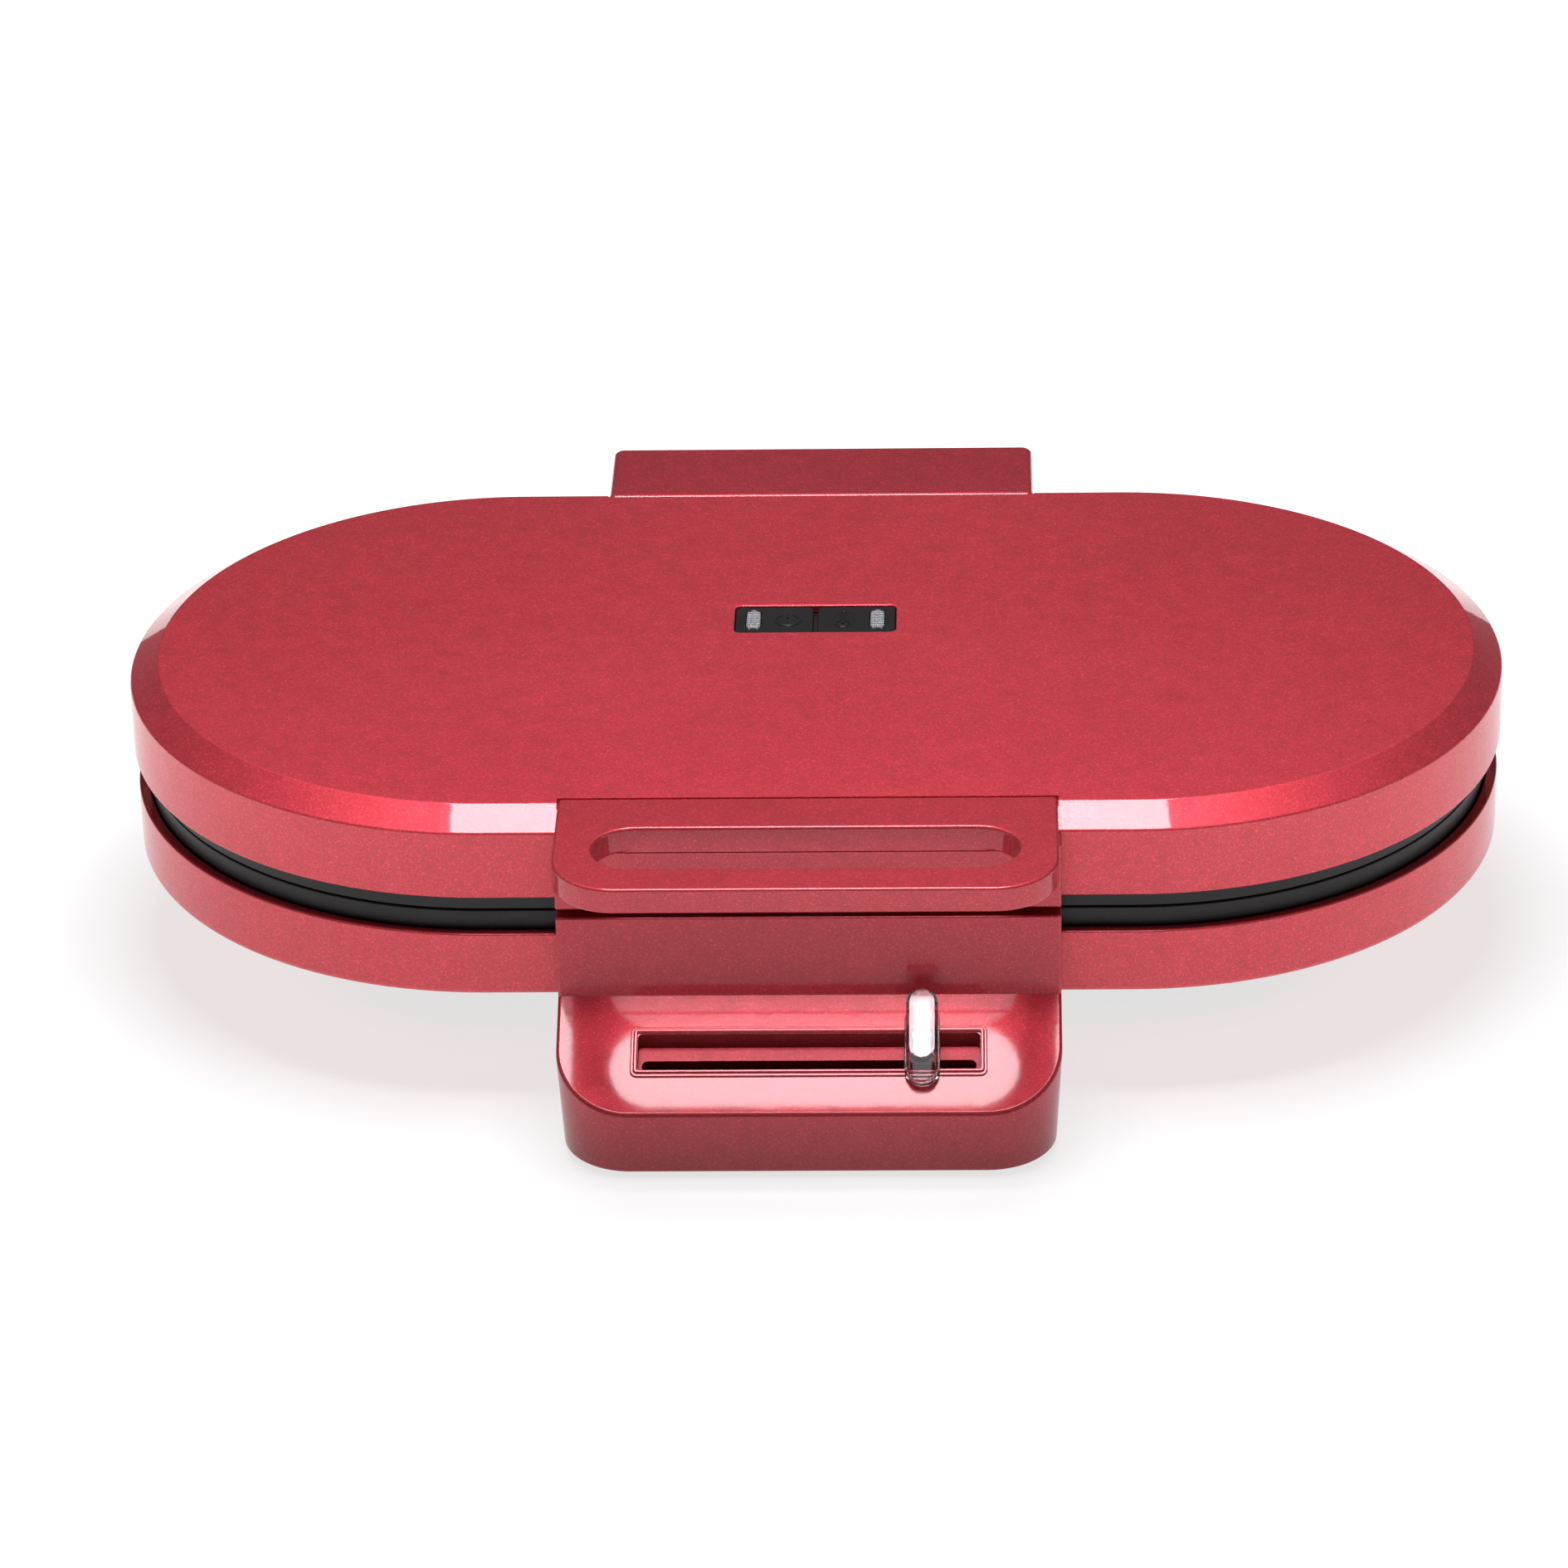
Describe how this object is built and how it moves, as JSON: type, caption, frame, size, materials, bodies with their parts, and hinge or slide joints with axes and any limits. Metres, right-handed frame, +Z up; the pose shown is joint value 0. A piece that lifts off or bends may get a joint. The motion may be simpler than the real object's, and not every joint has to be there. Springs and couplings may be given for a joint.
{
  "type": "donut maker",
  "caption": "Clamshell donut maker: stadium-shaped lid and base, ring moulds in both plates, finger-slot handle, rear hinge and a sloped front console with a clear slider.",
  "frame": {"origin": "on the table, under the middle of the whole object's box", "axes": "+X along the lid's length, towards the user's right; +Y towards the hinge; +Z up"},
  "size_m": [0.4, 0.2874, 0.0914],
  "materials": {
    "pearl_red": "pearlescent red paint with fine flakes under a clear coat",
    "black_plastic": "moulded, fine texture",
    "nonstick_plate": "black non-stick coating, satin",
    "steel": "plain steel",
    "rubber": "matte",
    "ceramic": "matte ceramic",
    "circuit_board": "phenolic board",
    "clear_plastic": "clear moulded acrylic",
    "lamp_glass": "clear glass"
  },
  "bodies": {
    "base": {"base_shell": "pearl_red", "front_console": "pearl_red", "console_floor": "black_plastic", "slide_regulator": "black_plastic", "hinge_bracket": "black_plastic", "bottom_cover": "black_plastic", "leg_front_left": "black_plastic", "leg_front_right": "black_plastic", "leg_back_left": "black_plastic", "leg_back_right": "black_plastic", "lower_plate": "nonstick_plate", "lower_heater": "steel", "lower_reflector": "steel", "lower_plate_screw_left": "steel", "lower_plate_screw_right": "steel", "console_screw_left": "steel", "console_screw_right": "steel", "hinge_pin_left": "steel", "hinge_pin_right": "steel", "cover_screw_1": "steel", "cover_screw_2": "steel", "cover_screw_3": "steel", "cover_screw_4": "steel", "thermal_fuse": "steel", "leg_pad_front_left": "rubber", "leg_pad_front_right": "rubber", "leg_pad_back_left": "rubber", "leg_pad_back_right": "rubber", "console_pad_left": "rubber", "console_pad_right": "rubber", "cord_gland": "rubber", "thermostat": "ceramic", "terminal_block": "ceramic"},
    "lid": {"lid_shell": "pearl_red", "lid_handle": "pearl_red", "hinge_cover": "pearl_red", "indicator_panel": "black_plastic", "lamp_board": "circuit_board", "power_lens": "clear_plastic", "ready_lens": "clear_plastic", "power_lamp": "lamp_glass", "ready_lamp": "lamp_glass", "hinge_arm_left": "black_plastic", "hinge_arm_right": "black_plastic", "handle_screw_left": "steel", "handle_screw_right": "steel", "upper_plate": "nonstick_plate", "upper_heater": "steel", "upper_reflector": "steel", "upper_plate_screw_left": "steel", "upper_plate_screw_right": "steel"},
    "slider": {"slider_knob": "clear_plastic", "slider_stem": "steel"}
  },
  "joints": [
    {"name": "lid_hinge", "type": "hinge", "parent": "base", "child": "lid", "pos_m": [0, 0.1307, 0.0574], "axis": [-1, 0, 0], "range_deg": [0, 100]},
    {"name": "slider_travel", "type": "slide", "parent": "base", "child": "slider", "axis": [1, 0, 0], "range_m": [-0.074, 0.011]}
  ]
}
